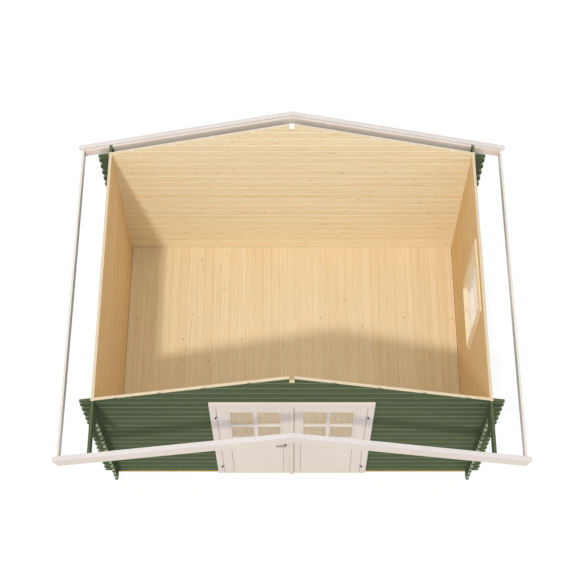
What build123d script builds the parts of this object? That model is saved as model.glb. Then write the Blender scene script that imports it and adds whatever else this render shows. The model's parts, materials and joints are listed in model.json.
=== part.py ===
"""Garden log cabin with interlocking corner logs, glazed double doors and one side window.

The roof deck is off, so the room is open above the wall plates and the roof-edge boards.
Lengths are millimetres. The origin is at ground level under the middle of the room, with
+X to the right as seen from the doors, +Y to the back and +Z up.
"""

import os
from math import cos, radians, sin, tan

from build123d import *

# Fits
log_joint = 0.4  # gap between two logs, or two framing members, that meet
seat_gap = 0.2  # gap between a loose piece and the piece that it is fixed to
pin_gap = 0.06  # radial running clearance of a hinge pin
knuckle_gap = 0.3  # gap between the two knuckles of a hinge

# Log walls
front_log_length = 4000.0
side_log_length = 2980.0
log_thickness = 28.0
course_height = 118.0
corner_overhang = 115.0  # log end beyond the outer face of the wall it crosses
outer_bevel = 8.0  # V-joint bevel along the outer edges of each log
inner_bevel = 3.0  # V-joint bevel on the room side
end_bevel = 35.0  # bevel over and under the free end of a log
side_courses = 17

# Ground bearers and floor
bearer_height = 35.0
bearer_width = 60.0
joist_count = 5
floor_thickness = 28.0
floor_margin = 3.0  # expansion gap between the floor and the walls

# Roof edge
roof_pitch = 15.745  # degrees
front_roof_reach = 570.0  # front wall face to the outer face of the front boards
bracket_reach = 295.0  # front wall face to the end of the log under the eaves log
barge_thickness = 20.0
barge_depth = 120.0
barge_tail = 36.0  # lower end of a barge board past the eaves board, measured level
cap_width = 46.0
cap_thickness = 20.0
front_batten_width = 24.0  # narrow enough to stay under the cap strip
back_batten_width = 44.0
batten_depth = 98.0
eaves_board_thickness = 20.0
eaves_board_depth = 115.0
eaves_reach = 290.0  # side wall face to the outer face of the eaves board
ridge_notch_width = 48.0
ridge_notch_depth = 95.0

# Door frame, with heights above the foot of the walls
door_courses = 16  # whole courses beside the doorway, above the half log
jamb_thickness = 28.0  # jamb in the thickness of the wall
jamb_face = 63.0  # width of the frame seen from the front
head_face = 80.0
frame_proud = 27.0  # frame face in front of the wall face
threshold_thickness = 14.0
threshold_rise = 35.0
stop_lap = 20.0  # how far a stop covers the edge of a closed leaf
stop_clearance = 5.5
inner_casing_thickness = 18.0

# Door leaves, with heights above the foot of the walls
leaf_gap = 6.0
leaf_edge = 716.0  # doorway centre to the hinge edge of a leaf
leaf_bottom = 20.0
leaf_top = 1880.0
leaf_thickness = 38.0
seam_offset = 20.0  # the seam between the leaves, right of the doorway centre
seam_gap = 9.0
stile_width = 100.0
meeting_face = 87.0  # doorway centre to the inner edge of a meeting stile
top_rail_height = 110.0
middle_rail_top = 1030.0
middle_rail_height = 110.0
bottom_rail_height = 55.0
glass_thickness = 4.0
glass_setback = 20.0
panel_thickness = 20.0
panel_setback = 6.0
cover_strip_width = 36.0
cover_strip_thickness = 20.0

# Door handle
handle_setback = 65.0  # doorway centre to the spindle
handle_height = 940.0
rose_radius = 21.0
rose_thickness = 8.0
neck_radius = 8.0
lever_standoff = 34.0  # leaf face to the back of the lever
lever_length = 104.0
lever_height = 18.0
lever_thickness = 14.0
lever_bevel = 5.0

# Hinges
hinge_axis_offset = 19.0  # leaf edge to the pin centre
hinge_axis_proud = 10.0  # pin centre in front of the frame face
hinge_heights = (220.0, 1630.0)
knuckle_radius = 6.0
hinge_pin_radius = 3.0
strap_height = 20.0
strap_thickness = 4.0
strap_reach = 44.0  # leaf edge to the tip of a strap
strap_crank = 6.0  # overlap of the two flats of a cranked strap
strap_edge = 2.0  # strap's bent part to the edge of the leaf
frame_knuckle_height = 14.0
knuckle_foot_width = 10.0
pin_recess = 2.0

# Window in the right wall, with heights above the foot of the walls
window_centre = 20.0
window_clear_width = 650.0
window_clear_height = 900.0
window_sill = 915.0
lining_thickness = 28.0
casing_width = 75.0
casing_thickness = 18.0
outer_casing_thickness = 20.0
sill_board_thickness = 22.0
sill_board_reach = 26.0  # room side of the wall to the nose of the sill board
sill_board_lap = 15.0  # sill board past each side of the clear opening
sash_width = 52.0
sash_thickness = 26.0
sash_recess = 2.0  # sash face behind the face of the outer casing

# Places worked out from the sizes above
pitch = radians(roof_pitch)
slope = tan(pitch)
base = bearer_height
half_course = course_height / 2
room_x = front_log_length / 2 - corner_overhang - log_thickness
room_y = side_log_length / 2 - corner_overhang - log_thickness
wall_x = room_x + log_thickness
wall_y = room_y + log_thickness
mid_x = room_x + log_thickness / 2
mid_y = room_y + log_thickness / 2
side_top = base + side_courses * course_height
ridge = side_top + room_x * slope
front_edge = -(wall_y + front_roof_reach)
back_edge = wall_y + corner_overhang + seat_gap + barge_thickness
door_head = base + half_course + door_courses * course_height
frame_face = -(wall_y + frame_proud)
jamb_edge = leaf_edge + leaf_gap
door_opening_half = jamb_edge + jamb_thickness
frame_outer_half = jamb_edge + jamb_face
head_underside = base + leaf_top + leaf_gap
frame_top = head_underside + head_face
hinge_axis_half = leaf_edge + hinge_axis_offset
stop_face = frame_face + leaf_thickness + stop_clearance
floor_top = base + floor_thickness
seam_left = seam_offset - seam_gap / 2
seam_right = seam_offset + seam_gap / 2
eaves_face = wall_x + eaves_reach
barge_reach = eaves_face + barge_tail
sides = {"left": -1, "right": 1}


def roof_at(x):
    """Height of the roof's underside at a distance from the ridge line."""
    return ridge - abs(x) * slope


def block(x_span, y_span, z_span):
    """Square-edged piece between two limits along each axis."""
    spans = (x_span, y_span, z_span)
    with Locations(tuple((min(s) + max(s)) / 2 for s in spans)):
        Box(*(max(s) - min(s) for s in spans))


def log_rows(first, count):
    """Bottom and top of each of several whole courses, from a first height up."""
    return [(first + k * course_height, first + (k + 1) * course_height) for k in range(count)]


def log_outlines(start, end, rows):
    """Side views of a stack of logs, square at both ends."""
    for bottom, top in rows:
        with Locations(((start + end) / 2, (bottom + top) / 2)):
            Rectangle(end - start, top - bottom - log_joint)


def corner_notches(centres, joints):
    """Notches over the joints of a stack, each half a course high, for the crossing logs."""
    with Locations([(c, z) for c in centres for z in joints]):
        Rectangle(log_thickness + 2 * seat_gap, half_course + log_joint, mode=Mode.SUBTRACT)


def log_sections(centre, rows):
    """End views of a stack of logs, with the bevels that make the V-joints, deeper outside."""
    outer, inner = (-1, 0) if centre > 0 else (0, -1)
    for bottom, top in rows:
        with BuildSketch(mode=Mode.PRIVATE) as section:
            with Locations((centre, (bottom + top) / 2)):
                Rectangle(log_thickness, top - bottom - log_joint)
            for face, bevel in ((outer, outer_bevel), (inner, inner_bevel)):
                chamfer(section.vertices().group_by(Axis.X)[face], bevel)
        add(section.sketch)


def roof_triangle(mode):
    """The space under both roof slopes, seen from the front."""
    foot = front_log_length
    Polygon((-foot, roof_at(foot)), (foot, roof_at(foot)), (0, ridge), align=None, mode=mode)


def rake_points(side, near, far, rise, depth, square_end=False):
    """Board along one slope: distances from the ridge, height over the slope and depth."""
    low = rise - depth
    across, up = (sin(pitch), cos(pitch)) if square_end else (0, 1 / cos(pitch))
    points = (
        (near, roof_at(near) + rise / cos(pitch)),
        (far + rise * across, roof_at(far) + rise * up),
        (far + low * across, roof_at(far) + low * up),
        (near, roof_at(near) + low / cos(pitch)),
    )
    return [(side * x, z) for x, z in points]


def front_plane(y):
    """Plane seen from the front, at a distance along Y."""
    return Plane.XZ.offset(-y)


def side_plane(x):
    """Plane seen from the right, at a distance along X."""
    return Plane.YZ.offset(x)


def save(piece, name):
    """Label a finished piece and write its file."""
    piece.part.label = name
    export_step(piece.part, f"parts/{name}.step")


os.makedirs("parts", exist_ok=True)

# Bearers under the walls and joists under the floor
joist_run = 2 * (wall_y - bearer_width)
joist_pitch = joist_run / (joist_count + 1)
joist_half = wall_x - bearer_width - log_joint
with BuildPart() as ground_bearers:
    for edge in (-1, 1):
        block((-wall_x, wall_x), (edge * wall_y, edge * (wall_y - bearer_width)), (0, base))
        block(
            (edge * wall_x, edge * (wall_x - bearer_width)),
            (-joist_run / 2 + log_joint, joist_run / 2 - log_joint),
            (0, base),
        )
    for j in range(joist_count):
        y = -joist_run / 2 + (j + 1) * joist_pitch
        block((-joist_half, joist_half), (y - bearer_width / 2, y + bearer_width / 2), (0, base))
save(ground_bearers, "ground_bearers")

with BuildPart() as floor:
    block(
        (floor_margin - room_x, room_x - floor_margin),
        (floor_margin - room_y, room_y - floor_margin),
        (base, floor_top),
    )
save(floor, "floor")

# Side walls: whole courses from the bearers up, with the last course kept as the eaves log
side_rows = log_rows(base, side_courses - 1)
side_joints = [base + k * course_height for k in range(side_courses + 1)]
side_end = side_log_length / 2
eaves_rows = [(side_rows[-1][1], side_top + half_course)]
eaves_span = (front_edge + barge_thickness, back_edge - barge_thickness)
window_bottom = base + window_sill - lining_thickness - seat_gap
window_top = base + window_sill + window_clear_height + lining_thickness + seat_gap
window_half = window_clear_width / 2 + lining_thickness + seat_gap
for name, side in sides.items():
    with BuildPart() as wall:
        with BuildSketch(side_plane(side * mid_x)) as elevation:
            log_outlines(-side_end, side_end, side_rows[:-1])
            log_outlines(-(wall_y + bracket_reach), side_end, side_rows[-1:])
            chamfer(elevation.vertices(), end_bevel)
            corner_notches((-mid_y, mid_y), side_joints)
            if name == "right":
                with Locations((window_centre, (window_bottom + window_top) / 2)):
                    Rectangle(2 * window_half, window_top - window_bottom, mode=Mode.SUBTRACT)
        extrude(amount=log_thickness / 2, both=True)
        with BuildSketch(Plane.XZ):
            log_sections(side * mid_x, side_rows)
        extrude(amount=side_log_length, both=True, mode=Mode.INTERSECT)
    save(wall, f"{name}_wall_logs")

    with BuildPart() as eaves_log:
        with BuildSketch(side_plane(side * mid_x)):
            log_outlines(*eaves_span, eaves_rows)
            corner_notches((-mid_y, mid_y), side_joints)
        extrude(amount=log_thickness / 2, both=True)
        with BuildSketch(Plane.XZ):
            log_sections(side * mid_x, eaves_rows)
            roof_triangle(Mode.INTERSECT)
        extrude(amount=side_log_length, both=True, mode=Mode.INTERSECT)
    save(eaves_log, f"{name}_eaves_log")

# Front and back walls: half a course out of step with the sides, from a half log up
half_log = [(base, base + half_course)]
end_rows = log_rows(base + half_course, door_courses)
end_joints = [base + half_course + k * course_height for k in range(side_courses)]
end_half = front_log_length / 2
gable_courses = int((ridge - ridge_notch_depth - door_head) // course_height)
gable_rows = log_rows(door_head, gable_courses)
ridge_rows = [(gable_rows[-1][1], ridge + course_height)]
end_sections = half_log + end_rows + gable_rows

with BuildPart() as back_wall_logs:
    with BuildSketch(front_plane(mid_y)) as elevation:
        log_outlines(-end_half, end_half, half_log + end_rows)
        chamfer(elevation.vertices().sort_by(Axis.Y)[2:], end_bevel)
        corner_notches((-mid_x, mid_x), end_joints)
    extrude(amount=log_thickness / 2, both=True)
    with BuildSketch(Plane.YZ):
        log_sections(mid_y, end_sections)
    extrude(amount=front_log_length, both=True, mode=Mode.INTERSECT)
save(back_wall_logs, "back_wall_logs")

for name, side in sides.items():
    with BuildPart() as beside_door:
        with BuildSketch(front_plane(-mid_y)) as elevation:
            log_outlines(*sorted((side * door_opening_half, side * end_half)), half_log + end_rows)
            free_end = elevation.vertices().group_by(Axis.X)[0 if side < 0 else -1]
            chamfer(free_end.sort_by(Axis.Y)[1:], end_bevel)
            corner_notches((side * mid_x,), end_joints)
        extrude(amount=log_thickness / 2, both=True)
        with BuildSketch(Plane.YZ):
            log_sections(-mid_y, end_sections)
        extrude(amount=front_log_length, both=True, mode=Mode.INTERSECT)
    save(beside_door, f"front_wall_{name}_logs")

for name, y in {"front": -mid_y, "back": mid_y}.items():
    with BuildPart() as gable:
        with BuildSketch(front_plane(y)):
            log_outlines(-end_half, end_half, gable_rows)
            corner_notches((-mid_x, mid_x), end_joints)
            roof_triangle(Mode.INTERSECT)
        extrude(amount=log_thickness / 2, both=True)
        with BuildSketch(Plane.YZ):
            log_sections(y, gable_rows)
        extrude(amount=front_log_length, both=True, mode=Mode.INTERSECT)
    save(gable, f"{name}_gable_logs")

    with BuildPart() as ridge_log:
        with BuildSketch(front_plane(y)):
            log_outlines(-end_half, end_half, ridge_rows)
            roof_triangle(Mode.INTERSECT)
            with Locations((0, ridge)):
                Rectangle(ridge_notch_width, 2 * ridge_notch_depth, mode=Mode.SUBTRACT)
        extrude(amount=log_thickness / 2, both=True)
        with BuildSketch(Plane.YZ):
            log_sections(y, ridge_rows)
        extrude(amount=front_log_length, both=True, mode=Mode.INTERSECT)
    save(ridge_log, f"{name}_ridge_log")

# Roof edge: barge boards, their cap strips and the battens behind them
batten_end = eaves_face - eaves_board_thickness
roof_edges = (
    ("front", front_edge, 1, front_batten_width),
    ("back", back_edge, -1, back_batten_width),
)
for end_name, edge, inward, batten_width in roof_edges:
    for name, side in sides.items():
        with BuildPart() as barge_board:
            with BuildSketch(front_plane(edge + inward * barge_thickness / 2)):
                Polygon(
                    *rake_points(side, log_joint / 2, barge_reach, 0, barge_depth, True), align=None
                )
            extrude(amount=barge_thickness / 2, both=True)
        save(barge_board, f"{end_name}_{name}_barge_board")

        with BuildPart() as cap_strip:
            with BuildSketch(front_plane(edge + inward * cap_width / 2)):
                top = cap_thickness + seat_gap
                Polygon(
                    *rake_points(side, log_joint / 2, barge_reach, top, cap_thickness, True),
                    align=None,
                )
            extrude(amount=cap_width / 2, both=True)
        save(cap_strip, f"{end_name}_{name}_cap_strip")

    with BuildPart() as battens:
        with BuildSketch(front_plane(edge + inward * (barge_thickness + batten_width / 2))):
            for side in sides.values():
                for near, far in (
                    (log_joint / 2, room_x - seat_gap),
                    (wall_x + seat_gap, batten_end - seat_gap),
                ):
                    Polygon(*rake_points(side, near, far, 0, batten_depth), align=None)
        extrude(amount=batten_width / 2, both=True)
    save(battens, f"{end_name}_roof_battens")

# Eaves boards between the barge boards, let in under the cap strips
eaves_board_top = roof_at(eaves_face) + cap_thickness / cos(pitch)
eaves_board_length = eaves_span[1] - eaves_span[0] - 2 * seat_gap
cap_lap = cap_width - barge_thickness
for name, side in sides.items():
    with BuildPart() as eaves_board:
        with BuildSketch(side_plane(side * (eaves_face - eaves_board_thickness / 2))):
            middle = (eaves_span[0] + eaves_span[1]) / 2
            with Locations((middle, eaves_board_top - eaves_board_depth / 2)):
                Rectangle(eaves_board_length, eaves_board_depth)
            with Locations([(y, eaves_board_top) for y in eaves_span]):
                Rectangle(
                    2 * (cap_lap + seat_gap),
                    2 * (eaves_board_top - roof_at(eaves_face) + seat_gap),
                    mode=Mode.SUBTRACT,
                )
        extrude(amount=eaves_board_thickness / 2, both=True)
    save(eaves_board, f"{name}_eaves_board")

# Door frame: rebated jambs and head over the ends of the logs, and a threshold
core_edge = door_opening_half - seat_gap
core_top = door_head - seat_gap
with BuildPart() as door_frame:
    for side in sides.values():
        with BuildSketch(Plane.XY.offset(base)):
            Polygon(
                (side * jamb_edge, frame_face),
                (side * frame_outer_half, frame_face),
                (side * frame_outer_half, -wall_y),
                (side * core_edge, -wall_y),
                (side * core_edge, -room_y),
                (side * jamb_edge, -room_y),
                align=None,
            )
        extrude(amount=head_underside - log_joint - base, dir=(0, 0, 1))
    block(
        (-frame_outer_half, frame_outer_half), (frame_face, -wall_y), (head_underside, frame_top)
    )
    block((-core_edge, core_edge), (-wall_y, -room_y), (head_underside, core_top))
    threshold_half = jamb_edge - log_joint
    block(
        (-threshold_half, threshold_half), (frame_face, stop_face), (base, base + threshold_thickness)
    )
save(door_frame, "door_frame")

# Stops that the closed leaves meet, and the rise at the back of the threshold
with BuildPart() as door_stops:
    stop_depth = (stop_face + seat_gap, -room_y)
    for side in sides.values():
        block(
            (side * (jamb_edge - seat_gap), side * (jamb_edge - stop_lap)),
            stop_depth,
            (base + threshold_rise + log_joint, head_underside - seat_gap),
        )
    head_stop_half = jamb_edge - stop_lap - log_joint
    block(
        (-head_stop_half, head_stop_half),
        stop_depth,
        (head_underside - stop_lap, head_underside - seat_gap),
    )
    block((-threshold_half, threshold_half), stop_depth, (base, base + threshold_rise))
save(door_stops, "door_stops")

with BuildPart() as door_inner_casing:
    casing_inner = jamb_edge - stop_lap
    casing_depth = (-room_y, -room_y + inner_casing_thickness)
    casing_foot = head_underside - stop_lap
    for side in sides.values():
        block(
            (side * casing_inner, side * frame_outer_half),
            casing_depth,
            (floor_top + seat_gap, casing_foot - log_joint),
        )
    block((-frame_outer_half, frame_outer_half), casing_depth, (casing_foot, frame_top))
save(door_inner_casing, "door_inner_casing")

# Hinge halves on the frame: a footed knuckle with the pin standing up from it
hinge_axis_y = frame_face - hinge_axis_proud
with BuildPart() as frame_hinge_pins:
    for side in sides.values():
        for height in hinge_heights:
            foot = base + height - knuckle_gap - frame_knuckle_height
            axis_x = side * hinge_axis_half
            with BuildSketch(Plane.XY.offset(foot)):
                with Locations((axis_x, hinge_axis_y)):
                    Circle(knuckle_radius)
                with Locations((axis_x, (hinge_axis_y + frame_face) / 2)):
                    Rectangle(knuckle_foot_width, hinge_axis_proud)
            extrude(amount=frame_knuckle_height)
            with BuildSketch(Plane.XY.offset(foot)):
                with Locations((axis_x, hinge_axis_y)):
                    Circle(hinge_pin_radius)
            extrude(amount=frame_knuckle_height + knuckle_gap + strap_height - pin_recess)
save(frame_hinge_pins, "frame_hinge_pins")

# Door leaves: framed and boarded below, glazed above
leaf_spans = {"left": (-leaf_edge, seam_left), "right": (seam_right, leaf_edge)}
leaf_depth = (frame_face, frame_face + leaf_thickness)
leaf_low = base + leaf_bottom
leaf_high = base + leaf_top
glass_low = base + middle_rail_top
panel_high = glass_low - middle_rail_height
field_outer = leaf_edge - stile_width
strap_start = leaf_edge - strap_edge
strap_end = leaf_edge - strap_reach
for name, side in sides.items():
    span = leaf_spans[name]
    field = sorted((side * field_outer, side * meeting_face))
    rail = (field[0] + log_joint, field[1] - log_joint)
    pane = (field[0] + seat_gap, field[1] - seat_gap)
    with BuildPart() as leaf:
        block((span[0], field[0]), leaf_depth, (leaf_low, leaf_high))
        block((field[1], span[1]), leaf_depth, (leaf_low, leaf_high))
        block(rail, leaf_depth, (leaf_high - top_rail_height, leaf_high))
        block(rail, leaf_depth, (panel_high, glass_low))
        block(rail, leaf_depth, (leaf_low, leaf_low + bottom_rail_height))
    save(leaf, f"{name}_door_leaf")

    with BuildPart() as panel:
        panel_face = frame_face + panel_setback
        block(
            pane,
            (panel_face, panel_face + panel_thickness),
            (leaf_low + bottom_rail_height + seat_gap, panel_high - seat_gap),
        )
    save(panel, f"{name}_door_panel")

    with BuildPart() as glass:
        glass_face = frame_face + glass_setback
        block(
            pane,
            (glass_face, glass_face + glass_thickness),
            (glass_low + seat_gap, leaf_high - top_rail_height - seat_gap),
        )
    save(glass, f"{name}_door_glass")

    with BuildPart() as hinge_straps:
        bend = frame_face - strap_thickness
        for height in hinge_heights:
            rise = (base + height, base + height + strap_height)
            axis_x = side * hinge_axis_half
            with BuildSketch(Plane.XY.offset(rise[0])):
                with Locations((axis_x, hinge_axis_y)):
                    Circle(knuckle_radius)
            extrude(amount=strap_height)
            block((axis_x, side * (strap_start - strap_crank)), (bend - strap_thickness, bend), rise)
            block((side * strap_start, side * strap_end), (bend, frame_face), rise)
            with BuildSketch(Plane.XY.offset(rise[0])):
                with Locations((axis_x, hinge_axis_y)):
                    Circle(hinge_pin_radius + pin_gap)
            extrude(amount=strap_height, mode=Mode.SUBTRACT)
    save(hinge_straps, f"{name}_door_hinge_straps")

with BuildPart() as left_door_cover_strip:
    block(
        (seam_left - cover_strip_width, seam_left),
        (frame_face - cover_strip_thickness, frame_face),
        (leaf_low, leaf_high),
    )
save(left_door_cover_strip, "left_door_cover_strip")

# Lever handles on both faces of the left leaf
with BuildPart() as left_door_handle:
    spindle_z = base + handle_height
    for face, outward in ((leaf_depth[0], -1), (leaf_depth[1], 1)):
        for radius, reach in (
            (rose_radius, rose_thickness),
            (neck_radius, lever_standoff - seat_gap),
        ):
            with BuildSketch(front_plane(face + outward * reach / 2)):
                with Locations((-handle_setback, spindle_z)):
                    Circle(radius)
            extrude(amount=reach / 2, both=True)
        lever_middle = face + outward * (lever_standoff + lever_thickness / 2)
        with BuildSketch(front_plane(lever_middle)) as lever:
            with Locations((-handle_setback + neck_radius - lever_length / 2, spindle_z)):
                Rectangle(lever_length, lever_height)
            chamfer(lever.vertices(), lever_bevel)
        extrude(amount=lever_thickness / 2, both=True)
save(left_door_handle, "left_door_handle")

# Window: lining through the wall, casings on both faces, and a glazed sash
clear_y = (window_centre - window_clear_width / 2, window_centre + window_clear_width / 2)
clear_z = (base + window_sill, base + window_sill + window_clear_height)


def ring(x_span, inset, width):
    """Four members around the window's clear opening, the upright ones running through."""
    low_y, high_y = clear_y[0] + inset, clear_y[1] - inset
    low_z, high_z = clear_z[0] + inset, clear_z[1] - inset
    for y_span in ((low_y - width, low_y), (high_y, high_y + width)):
        block(x_span, y_span, (low_z - width, high_z + width))
    for z_span in ((low_z - width, low_z), (high_z, high_z + width)):
        block(x_span, (low_y + log_joint, high_y - log_joint), z_span)


sash_back = wall_x + outer_casing_thickness - sash_recess - sash_thickness
with BuildPart() as window_lining:
    ring((room_x, wall_x), 0, lining_thickness)
save(window_lining, "window_lining")

# Room side: casing up both sides and over the head, standing on a sill board with a round nose
with BuildPart() as window_inner_casing:
    casing_x = (room_x - casing_thickness, room_x)
    casing_top = (clear_z[1], clear_z[1] + casing_width)
    for edge, outward in zip(clear_y, (-1, 1)):
        block(casing_x, (edge, edge + outward * casing_width), (clear_z[0], casing_top[1]))
    block(casing_x, (clear_y[0] + log_joint, clear_y[1] - log_joint), casing_top)
    with BuildSketch(front_plane(clear_y[0] - sill_board_lap)):
        nose = sill_board_thickness / 2
        board = sill_board_reach - nose
        middle = clear_z[0] - seat_gap - nose
        with Locations((room_x - board / 2, middle)):
            Rectangle(board, sill_board_thickness)
        with Locations((room_x - board, middle)):
            Circle(nose)
    extrude(amount=-(window_clear_width + 2 * sill_board_lap))
save(window_inner_casing, "window_inner_casing")

with BuildPart() as window_outer_casing:
    ring((wall_x, wall_x + outer_casing_thickness), 0, casing_width)
save(window_outer_casing, "window_outer_casing")

with BuildPart() as window_sash:
    ring((sash_back, sash_back + sash_thickness), sash_width + seat_gap, sash_width)
save(window_sash, "window_sash")

with BuildPart() as window_glass:
    pane_inset = sash_width + 2 * seat_gap
    pane_x = sash_back + sash_thickness / 2
    block(
        (pane_x - glass_thickness / 2, pane_x + glass_thickness / 2),
        (clear_y[0] + pane_inset, clear_y[1] - pane_inset),
        (clear_z[0] + pane_inset, clear_z[1] - pane_inset),
    )
save(window_glass, "window_glass")
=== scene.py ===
# %% [markdown]
# A garden log cabin with its roof deck off, seen from above and in front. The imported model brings
# every log, board and hinge at its real size. This lesson gives the timber its grain and stain, adds
# the boards and bars that are too fine for the solids, and sets up daylight and a camera.

import json
import math

import bmesh
import bpy
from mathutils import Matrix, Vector


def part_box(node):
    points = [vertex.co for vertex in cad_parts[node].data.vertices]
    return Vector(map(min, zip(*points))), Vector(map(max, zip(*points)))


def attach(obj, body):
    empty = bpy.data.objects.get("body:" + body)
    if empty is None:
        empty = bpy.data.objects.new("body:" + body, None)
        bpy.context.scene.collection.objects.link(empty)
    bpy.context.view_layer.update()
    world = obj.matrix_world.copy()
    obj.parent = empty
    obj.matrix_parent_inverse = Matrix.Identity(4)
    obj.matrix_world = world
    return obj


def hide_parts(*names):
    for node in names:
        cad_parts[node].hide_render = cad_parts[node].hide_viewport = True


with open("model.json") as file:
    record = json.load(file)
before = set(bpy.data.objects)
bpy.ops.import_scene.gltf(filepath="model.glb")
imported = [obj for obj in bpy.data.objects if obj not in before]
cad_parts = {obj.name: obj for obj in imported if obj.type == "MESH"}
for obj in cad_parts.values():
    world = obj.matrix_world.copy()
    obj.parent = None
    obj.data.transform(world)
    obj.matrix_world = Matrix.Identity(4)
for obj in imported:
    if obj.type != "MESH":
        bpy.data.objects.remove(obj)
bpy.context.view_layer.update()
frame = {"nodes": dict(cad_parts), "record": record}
nodes = frame["nodes"]
scene = bpy.context.scene

# %% [markdown]
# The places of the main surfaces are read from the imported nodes, so that everything here follows
# the solids. They could be typed in as numbers, but those would be wrong as soon as a size changed.
# A node's box gives its lowest and highest corner in metres. The logs are stacked in courses of one
# height, and both gables are sawn to one roof pitch.

# %% Measure the cabin
COURSES_BELOW_EAVES = 16
ROOF_PITCH = math.radians(15.745)
NOTCH_DEPTH = 0.095
room_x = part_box("right_wall_logs")[0][0]
wall_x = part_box("right_wall_logs")[1][0]
room_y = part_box("back_wall_logs")[0][1]
wall_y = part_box("back_wall_logs")[1][1]
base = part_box("floor")[0][2]
course = (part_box("left_eaves_log")[0][2] - base) / COURSES_BELOW_EAVES
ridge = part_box("front_right_barge_board")[1][2]
ridge_log_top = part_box("front_ridge_log")[1][2]
notch_half = (ridge - ridge_log_top) / math.tan(ROOF_PITCH)
notch_floor = ridge - NOTCH_DEPTH
print("course:", round(course, 4), "ridge:", round(ridge, 3), "notch half:", round(notch_half, 4))

# %% [markdown]
# The picture looks down from high above the front, as through a long lens. A camera could be set by
# eye, but then no edge would lie where it lies in the picture. So it stands where a pinhole camera fitted to
# the wall corners stood. Its lens is written as a focal length in pixels, which a 36 mm wide sensor
# turns into millimetres.

# %% Camera
PICTURE = 584
FOCAL = 1300.5
SENSOR = 36.0
eye = Vector((0.001, -5.942, 13.340 + base))
down_tilt = math.radians(63.284)
camera_data = bpy.data.cameras.new("camera")
camera_data.sensor_width = SENSOR
camera_data.lens = FOCAL / PICTURE * SENSOR
camera = bpy.data.objects.new("camera", camera_data)
camera.location = eye
camera.rotation_euler = (math.pi / 2 - down_tilt, 0, 0)
scene.collection.objects.link(camera)
scene.camera = camera
print("lens:", round(camera_data.lens, 2), "mm")

# %% [markdown]
# The sky and every finish are trees of nodes. They could be wired node by node, but a few helpers
# keep them short to read. `link` takes either a socket or a plain value, `calc` places a maths node,
# `ramp` turns a value into a soft step, and `blend` goes from one colour to another.


# %% Node helpers
def link(tree, value, socket):
    """Joins a node's output to a socket, or sets the socket to a plain value."""
    if isinstance(value, bpy.types.NodeSocket):
        tree.links.new(value, socket)
    else:
        socket.default_value = value


def calc(tree, operation, first, second=0.0):
    """A maths node on one or two values."""
    node = tree.nodes.new("ShaderNodeMath")
    node.operation = operation
    link(tree, first, node.inputs[0])
    link(tree, second, node.inputs[1])
    return node.outputs[0]


def product(tree, first, *others):
    """Several values multiplied, which for masks means all of them at once."""
    for other in others:
        first = calc(tree, "MULTIPLY", first, other)
    return first


def inverse(tree, mask):
    """1 where a mask is 0, and 0 where it is 1."""
    return calc(tree, "SUBTRACT", 1.0, mask)


def ramp(tree, value, low, high):
    """0 below one value and 1 above another, with a smooth change between."""
    node = tree.nodes.new("ShaderNodeMapRange")
    node.interpolation_type = "SMOOTHSTEP"
    link(tree, value, node.inputs["Value"])
    node.inputs["From Min"].default_value = low
    node.inputs["From Max"].default_value = high
    return node.outputs["Result"]


def blend(tree, share, first, second):
    """A colour between two colours."""
    node = tree.nodes.new("ShaderNodeMix")
    node.data_type = "RGBA"
    link(tree, share, node.inputs["Factor"])
    link(tree, first, node.inputs["A"])
    link(tree, second, node.inputs["B"])
    return node.outputs["Result"]


def noise(tree, vector, scale, detail):
    """Soft random values around 0.5."""
    node = tree.nodes.new("ShaderNodeTexNoise")
    link(tree, vector, node.inputs["Vector"])
    node.inputs["Scale"].default_value = scale
    node.inputs["Detail"].default_value = detail
    return node.outputs["Fac"]


def axes(tree, vector):
    """The three parts of a vector."""
    node = tree.nodes.new("ShaderNodeSeparateXYZ")
    link(tree, vector, node.inputs[0])
    return node.outputs


def join(tree, x, y, z):
    """A vector from three parts."""
    node = tree.nodes.new("ShaderNodeCombineXYZ")
    for value, socket in zip((x, y, z), node.inputs):
        link(tree, value, socket)
    return node.outputs[0]


print("node helpers ready")

# %% [markdown]
# Daylight has two parts. A soft sun from the front left throws the band of shadow that the front
# roof boards lay across the doors, and an even white sky fills the rest. Rays from the camera, from
# a mirror or through glass see the sky as plain white, so the background is white without more
# light on the cabin.

# %% Sun and sky
SUN_TRAVEL = Vector((0.14, 0.487, -0.738))
SUN_DISTANCE = 4.0
SUN_STRENGTH = 1.4
SUN_SPREAD = math.radians(3.5)
SUN_COLOUR = (1.0, 0.95, 0.88)
SKY_STRENGTH = 0.85
SKY_COLOUR = (0.96, 0.98, 1.0, 1)
WHITE = (1, 1, 1, 1)
sun_data = bpy.data.lights.new("sun", "SUN")
sun_data.energy = SUN_STRENGTH
sun_data.angle = SUN_SPREAD
sun_data.color = SUN_COLOUR
sun = bpy.data.objects.new("sun", sun_data)
sun.rotation_euler = SUN_TRAVEL.to_track_quat("-Z", "Y").to_euler()
sun.location = -SUN_DISTANCE * SUN_TRAVEL
scene.collection.objects.link(sun)
scene.view_settings.view_transform = "Standard"

world = bpy.data.worlds.new("sky")
world.use_nodes = True
scene.world = world
sky = world.node_tree
sky.nodes.clear()


def seen_rays(tree):
    """1 for rays that show the background: from the camera, a mirror or through glass."""
    paths = tree.nodes.new("ShaderNodeLightPath").outputs
    mirror_or_glass = calc(tree, "MAXIMUM", paths["Is Glossy Ray"], paths["Is Transmission Ray"])
    return calc(tree, "MAXIMUM", paths["Is Camera Ray"], mirror_or_glass)


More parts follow.
